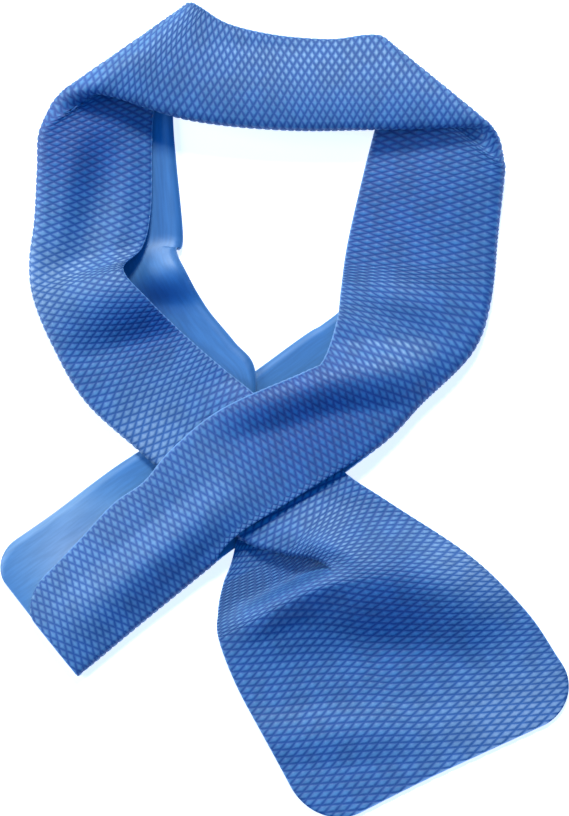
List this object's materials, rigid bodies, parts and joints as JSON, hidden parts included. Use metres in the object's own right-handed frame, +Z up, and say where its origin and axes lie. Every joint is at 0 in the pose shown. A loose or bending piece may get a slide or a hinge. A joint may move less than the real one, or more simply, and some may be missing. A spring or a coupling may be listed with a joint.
{
  "type": "cooling neck wrap",
  "caption": "Long water-holding sponge strip with raised diamonds, folded lengthwise and laid flat in its worn loop, one end passed through the other.",
  "frame": {"origin": "bottom centre of the lay's box, on the surface that the wrap lies on", "axes": "+Z up from the surface, +Y towards the neck band at the top of the loop, +X towards the side where the fan lies"},
  "size_m": [0.2622, 0.3728, 0.021],
  "materials": {
    "sponge": "matte damp sponge with raised diamonds on its outer face"
  },
  "bodies": {
    "root": {"wrap_sheet": "sponge"}
  },
  "joints": []
}
